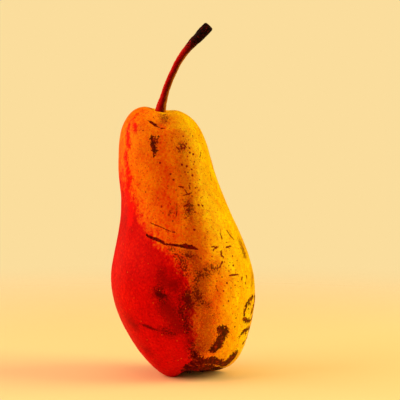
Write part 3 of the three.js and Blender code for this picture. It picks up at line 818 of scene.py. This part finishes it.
def stalk_tree(values):
    """The stalk round its middle line: fibres along it, bud scars that swell it, and a hollow cut end."""
    tree, given = new_tree("stalk", values)
    math_, vector = "ShaderNodeMath", "ShaderNodeVectorMath"
    parameter = add(tree, "GeometryNodeSplineParameter")
    line = add(tree, "GeometryNodeStoreNamedAttribute", {
        "Geometry": given["Geometry"], "Name": "along", "Value": parameter.outputs["Factor"]})
    circle = add(tree, "GeometryNodeCurvePrimitiveCircle", {"Resolution": given["Sides"], "Radius": 1.0})
    section = add(tree, "GeometryNodeStoreNamedAttribute", {
        "Geometry": circle.outputs["Curve"], "Name": "around", "Value": parameter.outputs["Factor"]})
    radius = add(tree, "GeometryNodeInputRadius")
    tube = add(tree, "GeometryNodeCurveToMesh", {
        "Curve": line, "Profile Curve": section, "Scale": radius, "Fill Caps": True})
    share, turn = (
        add(tree, "GeometryNodeInputNamedAttribute", {"Name": name}) for name in ("along", "around")
    )
    angle = add(tree, math_, [turn, TURN], operation="MULTIPLY")
    many = add(tree, math_, [angle, given["Ridges"]], operation="MULTIPLY")
    wave = add(tree, math_, {0: add(tree, math_, [share, RIDGE_TWIST, many], operation="MULTIPLY_ADD")},
               operation="COSINE")
    height = add(tree, math_, [wave, given["Ridge depth"]], operation="MULTIPLY")
    bark = add(tree, "ShaderNodeTexNoise", {"Scale": 900.0, "Detail": 3.0})
    rough = add(tree, math_, [bark, 0.5], operation="SUBTRACT")
    height = add(tree, math_, [rough, given["Bark depth"], height], operation="MULTIPLY_ADD")
    for place, at, swelling, length in BUD_SCARS:
        near = add(tree, math_, [share, place], operation="SUBTRACT")
        near = add(tree, math_, [near, 1 / length], operation="MULTIPLY")
        near = add(tree, math_, [near, near], operation="MULTIPLY")
        fall = add(tree, math_, {0: 2.718, 1: add(tree, math_, [near, -1.0], operation="MULTIPLY")},
                   operation="POWER")
        facing = add(tree, math_, {0: angle, 1: math.radians(at)}, operation="SUBTRACT")
        facing = add(tree, math_, [facing], operation="COSINE")
        facing = add(tree, math_, [facing, 0.0], operation="MAXIMUM")
        facing = add(tree, math_, [facing, facing], operation="MULTIPLY")
        bud = add(tree, math_, [fall, facing], operation="MULTIPLY")
        height = add(tree, math_, [bud, swelling * STEM_THICKNESS / 2 * MM, height],
                     operation="MULTIPLY_ADD")
    move = add(tree, vector, {0: add(tree, "GeometryNodeInputNormal"), "Scale": height}, operation="SCALE")
    side = add(tree, "FunctionNodeCompare", [share, 0.9999], operation="LESS_THAN")
    ridged = add(tree, "GeometryNodeSetPosition", {"Geometry": tube, "Offset": move, "Selection": side})
    # How much each place faces the red lamp on the left is stored, so that the bark is painted red there:
    # painted lamp light.
    facing = add(tree, vector, {0: add(tree, "GeometryNodeInputNormal"), 1: given["Sunny way"]},
                 operation="DOT_PRODUCT")
    sunny = add(tree, math_, [facing.outputs["Value"], 0.5, 0.5], operation="MULTIPLY_ADD")
    ridged = add(tree, "GeometryNodeStoreNamedAttribute", {
        "Geometry": ridged, "Name": "sunny", "Value": sunny})
    is_end = add(tree, "FunctionNodeCompare", [share, 0.99999], operation="GREATER_EQUAL")
    rim = add(tree, "GeometryNodeExtrudeMesh", {"Mesh": ridged, "Selection": is_end, "Offset Scale": 0.0},
              mode="FACES")
    inset = add(tree, "GeometryNodeScaleElements", {
        "Geometry": rim.outputs["Mesh"], "Selection": rim.outputs["Top"], "Scale": HOLLOW_SHARE},
        domain="FACE")
    pit = add(tree, "GeometryNodeExtrudeMesh", {
        "Mesh": inset, "Selection": rim.outputs["Top"], "Offset Scale": given["Hollow"]}, mode="FACES")
    pith = add(tree, "GeometryNodeScaleElements", {
        "Geometry": pit.outputs["Mesh"], "Selection": pit.outputs["Top"], "Scale": PITH_SHARE},
        domain="FACE")
    return close_tree(tree, pith, given["Material"])


def ring_tree(values):
    """Copies of one small blade round a centre, each with its own turn, tilt and size."""
    tree, given = new_tree("ring of blades", values)
    math_ = "ShaderNodeMath"
    points = add(tree, "GeometryNodePoints", {"Count": given["Count"]})
    index = add(tree, "GeometryNodeInputIndex")
    step = add(tree, math_, [TURN, given["Count"]], operation="DIVIDE")
    angle = add(tree, math_, [index, step, given["Start angle"]], operation="MULTIPLY_ADD")
    x, y = (
        add(tree, math_, {0: add(tree, math_, [angle], operation=way), 1: given["Radius"]},
            operation="MULTIPLY") for way in ("COSINE", "SINE")
    )
    spot = add(tree, "ShaderNodeCombineXYZ", [x, y])
    spot = add(tree, "ShaderNodeVectorMath", [spot, given["Centre"]], operation="ADD")
    placed = add(tree, "GeometryNodeSetPosition", {"Geometry": points, "Position": spot})
    lower = add(tree, math_, [given["Tilt"], -1.0], operation="MULTIPLY")
    tilt = add(tree, "FunctionNodeRandomValue", {
        "Min": lower, "Max": given["Tilt"], "Seed": given["Seed"]})
    turn = add(tree, "ShaderNodeCombineXYZ", {1: tilt, 2: angle})
    rotation = add(tree, "FunctionNodeEulerToRotation", {"Euler": turn})
    smallest = add(tree, math_, [1.0, given["Size spread"]], operation="SUBTRACT")
    size = add(tree, "FunctionNodeRandomValue", {"Min": smallest, "Max": 1.0, "Seed": given["Seed"]})
    copies = add(tree, "GeometryNodeInstanceOnPoints", {
        "Points": placed, "Instance": given["Geometry"], "Rotation": rotation, "Scale": size})
    return close_tree(tree, copies, given["Material"])


def make_fruit(material):
    """The skin with its relief. Attributes carry each kind of mark, as the depth inside it in mm."""
    marks = {
        "gash": strokes_of(GASHES), "scratch": strokes_of(SCRATCHES, FAR_SCRATCHES),
        "russet": strokes_of(RUSSET_AND_FOOT_SHADE, FAR_RUSSET), "smudge": strokes_of(SMUDGES, FAR_SMUDGES),
        "red_streak": strokes_of(RED_STREAK), "dull_band": strokes_of(DULL_AND_SHADED_BAND), "flush": strokes_of(FLUSH),
        "cloud": strokes_of(CLOUD), "stipple": strokes_of(STIPPLE), "healed_gash": strokes_of(HEALED_GASHES),
    }
    for reach in SPLIT_WITHIN:
        split_near(bare_skin, marks["gash"] + marks["scratch"], reach)
    points = np.array([v.co for v in bare_skin.vertices]) / MM
    layers = {name: depth_inside(points, strokes) for name, strokes in marks.items()}
    x, height = points[:, 0], points[:, 2]
    layers["free"] = smooth_step(*FLAT_FOOT, height)
    freckled = FEWEST_FRECKLES + (1 - FEWEST_FRECKLES) * smooth_step(*FRECKLED_SIDE, x)
    layers["freckled"] = freckled * smooth_step(*BARE_FOOT, height)
    # Russet round the basin, dark partly as painted shade under the foot.
    from_basin = np.linalg.norm((points - basin_middle)[:, :2], axis=1)
    layers["basin_russet"] = BASIN_RUSSET_AND_SHADE - from_basin - np.maximum(height - BASIN_HEIGHT, 0)
    layers["orange"] = beyond(points, ORANGE_EDGE)
    layers["red"] = beyond(points, RED_EDGE) * (1 - SOFTER_BY * smooth_step(*SOFTER_ABOVE, height))
    for name, values in layers.items():
        layer = bare_skin.attributes.new(name, "FLOAT", "POINT")
        layer.data.foreach_set("value", np.clip(values, -FURTHEST, FURTHEST).astype(np.float32))
    return grow(new_object("fruit_skin", bare_skin), relief_tree, {
        "Unevenness": 0.55 * MM, "Patch": 13 * MM, "Pore depth": 0.05 * MM, "Pore size": 1.6 * MM,
        "Gash depth": 0.3 * MM, "Scratch depth": 0.12 * MM, "Russet height": 0.1 * MM,
        "Material": material})


def make_lenticels(skin, material):
    """The lenticels that the photograph shows one by one, and the rest scattered."""
    seen = [
        (*seen_at(x, y), radius * DOT_SPREAD * PIXEL)
        for radius, spots in DARK_DOTS.items() for x, y in spots
    ]
    mesh = bpy.data.meshes.new("marked_points")
    mesh.from_pydata([tuple(place * MM) for place, _, _ in seen], [], [])
    outward = mesh.attributes.new("outward", "FLOAT_VECTOR", "POINT")
    outward.data.foreach_set("vector", np.array([normal for _, normal, _ in seen]).ravel())
    radius = mesh.attributes.new("radius_m", "FLOAT", "POINT")
    radius.data.foreach_set("value", [size * MM for _, _, size in seen])
    marked = new_object("marked_points", mesh)
    carrier = new_object("lenticels", skin.data.copy())
    carrier.data.materials.clear()
    made = grow(carrier, lenticel_tree, {
        "Marked points": marked, "Spacing": 1.9 * MM, "Density": 160000.0, "Smallest": 0.1 * MM,
        "Largest": 0.27 * MM, "Lowness": 0.3, "Seed": 5, "Material": material})
    bpy.data.objects.remove(marked)
    return made


def make_stalk(material):
    """The stalk's middle line, from its root in the cavity to its cut end, and the bark round it."""
    path = np.array(STEM_PATH)
    ends = 2 * path[0] - path[1], 2 * path[-1] - path[-2]
    line = line_through(path, *ends, np.linspace(0, 1, STALK_STEPS))
    curve = bpy.data.curves.new("stalk", "CURVE")
    curve.dimensions = "3D"
    spline = curve.splines.new("POLY")
    spline.points.add(STALK_STEPS - 1)
    for i, (point, (x, y, z, thick)) in enumerate(zip(spline.points, line)):
        point.co = (*((np.array([x, y, z]) * STEM_RISE + cavity_middle) * MM), 1)
        rounding = max(0, 1 - (STALK_STEPS - 1 - i) / ROUNDED_STEPS)
        point.radius = thick * STEM_THICKNESS / 2 * MM * math.sqrt(1 - ROUNDED_BY * rounding**2)
    return grow(new_object("stalk", curve), stalk_tree, {
        "Sides": STALK_SIDES, "Ridges": 3.0, "Ridge depth": 0.06 * MM, "Bark depth": 0.45 * MM,
        "Hollow": -0.5 * MM, "Sunny way": (-0.8, -0.3, 0.5), "Material": material})


def blade(name, length, width, thickness, rows, columns, bend):
    """A thin closed blade that starts at the origin and runs along +X. bend gives how far down each share of
    it hangs."""
    points, faces = [], []
    for layer in (1, -1):
        for row in range(rows + 1):
            share = row / rows
            half = width / 2 * math.sqrt(max(1 - share**BLADE_TAPER, BLADE_TIP))
            for column in range(columns + 1):
                across = 2 * column / columns - 1
                cup = BLADE_CUP * width * across**2 * (0.4 + share)
                z = -bend(share) - cup + layer * thickness / 2 * (1 - BLADE_THINNER * abs(across))
                points.append((share * length * MM, across * half * MM, z * MM))
    layer_size = (rows + 1) * (columns + 1)
    index = lambda layer, row, column: layer * layer_size + row * (columns + 1) + column
    for row in range(rows):
        for column in range(columns):
            corners = [(row, column), (row + 1, column), (row + 1, column + 1), (row, column + 1)]
            faces.append([index(0, *corner) for corner in corners])
            faces.append([index(1, *corner) for corner in reversed(corners)])
    border = [(row, 0) for row in range(rows)] + [(rows, column) for column in range(columns)]
    border += [(row, columns) for row in range(rows, 0, -1)]
    border += [(0, column) for column in range(columns, 0, -1)]
    for here, after in zip(border, border[1:] + border[:1]):
        faces.append([index(0, *after), index(0, *here), index(1, *here), index(1, *after)])
    mesh = bpy.data.meshes.new(name)
    mesh.from_pydata(points, [], faces)
    mesh.update()
    return new_object(name, mesh)


def make_calyx(material):
    """Five curled sepals and a tuft of stamens round the mouth of the cup."""
    mouth = basin_middle - np.array([0, 0, CALYX_BELOW_BASIN])
    below = mouth - np.array([0, 0, STAMENS_BELOW_SEPALS])
    sepal = blade("sepals", SEPAL_LENGTH, SEPAL_WIDTH, SEPAL_THICKNESS, 14, 8,
                  lambda share: SEPAL_DROP * share**1.2 - SEPAL_CURL * share**5)
    sepals = grow(sepal, ring_tree, {
        "Count": LOBES, "Radius": SEPAL_RING * MM, "Start angle": LOBE_AT + math.pi / LOBES, "Tilt": 0.1,
        "Size spread": 0.15, "Centre": tuple(mouth * MM), "Seed": 3, "Material": material})
    stamen = blade("stamens", STAMEN_LENGTH, STAMEN_WIDTH, STAMEN_THICKNESS, 6, 4,
                   lambda share: STAMEN_DROP * share)
    stamens = grow(stamen, ring_tree, {
        "Count": STAMENS, "Radius": STAMEN_RING * MM, "Start angle": 0.2, "Tilt": 0.35,
        "Size spread": 0.4, "Centre": tuple(below * MM), "Seed": 9, "Material": material})
    return sepals, stamens


def make_stage():
    """A pale paper floor round the fruit, which melts into the backdrop. Its underside isn't shown, so that
    the fruit can be looked at from below."""
    mesh = bpy.data.meshes.new("paper_floor")
    corners = [(PAPER_HALF * x, PAPER_HALF * y, 0) for x, y in ((-1, -1), (1, -1), (1, 1), (-1, 1))]
    mesh.from_pydata(corners, [], [(0, 1, 2, 3)])
    material, tree, shader, place = new_material("matte paper")
    fill(tree, shader, {"Base Color": srgb(PAPER), "Roughness": 0.9, "Specular IOR Level": 0.1})
    near, far = PAPER_FADES
    away = add(tree, "ShaderNodeVectorMath", [place], operation="LENGTH").outputs["Value"]
    gone = add(tree, "ShaderNodeMapRange", {"Value": away, "From Min": near, "From Max": far},
               interpolation_type="SMOOTHSTEP")
    below = add(tree, "ShaderNodeNewGeometry").outputs["Backfacing"]
    clear = add(tree, "ShaderNodeMath", [gone, below], operation="MAXIMUM")
    nothing = add(tree, "ShaderNodeBsdfTransparent")
    shown = add(tree, "ShaderNodeMixShader", [clear, shader, nothing])
    fill(tree, next(n for n in tree.nodes if n.type == "OUTPUT_MATERIAL"), {"Surface": shown})
    mesh.materials.append(material)
    new_object("paper_floor", mesh)


def make_light():
    """A large soft box on either side, a soft one behind on the left for the rim, a weak fill in front and
    one above. The camera sees the backdrop as plain pale paper."""
    for name, place, size, power, colour in SOFT_BOXES:
        light = bpy.data.lights.new(name, "AREA")
        light.shape = "RECTANGLE"
        light.size, light.size_y = size
        light.energy = power
        light.color = srgb(colour)[:3]
        made = new_object(name, light)
        made.location = place
        made.rotation_euler = (Vector(place) - LIT_POINT).to_track_quat("Z", "Y").to_euler()
    world = bpy.data.worlds.new("studio")
    world.use_nodes = True
    tree = world.node_tree
    sky = next(n for n in tree.nodes if n.type == "BACKGROUND")
    fill(tree, sky, {"Color": srgb("#ffd0a0"), "Strength": 0.1})
    paper = add(tree, "ShaderNodeBackground", {"Color": srgb(BACKDROP), "Strength": 1.0})
    seen = add(tree, "ShaderNodeLightPath").outputs["Is Camera Ray"]
    both = add(tree, "ShaderNodeMixShader", [seen, sky, paper])
    fill(tree, next(n for n in tree.nodes if n.type == "OUTPUT_WORLD"), {"Surface": both})
    bpy.context.scene.world = world


def make_camera():
    lens = bpy.data.cameras.new("camera")
    lens.sensor_width = 36
    lens.lens = lens.sensor_width * CAMERA_AWAY / (PHOTO_PIXELS * PIXEL)
    lens.clip_start, lens.clip_end = 0.01, 20
    camera = new_object("camera", lens)
    camera.location = CAMERA_PLACE * MM
    camera.rotation_euler = Vector(CAMERA_BACK).to_track_quat("Z", "Y").to_euler()
    bpy.context.scene.camera = camera


make_camera()
make_light()
make_stage()
bpy.context.scene.view_settings.view_transform = "Standard"

fruit = make_fruit(pear_skin())
lenticels = make_lenticels(fruit, lenticel_cork())
stalk = make_stalk(stalk_bark())
sepals, stamens = make_calyx(dried_leaf())

for piece, slot in ((fruit, "skin"), (lenticels, "skin"), (stalk, "stem_wood"), (sepals, "dried_calyx"),
                    (stamens, "dried_calyx")):
    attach(piece, "root")
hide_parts("fruit")
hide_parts("stem")
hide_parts("calyx")
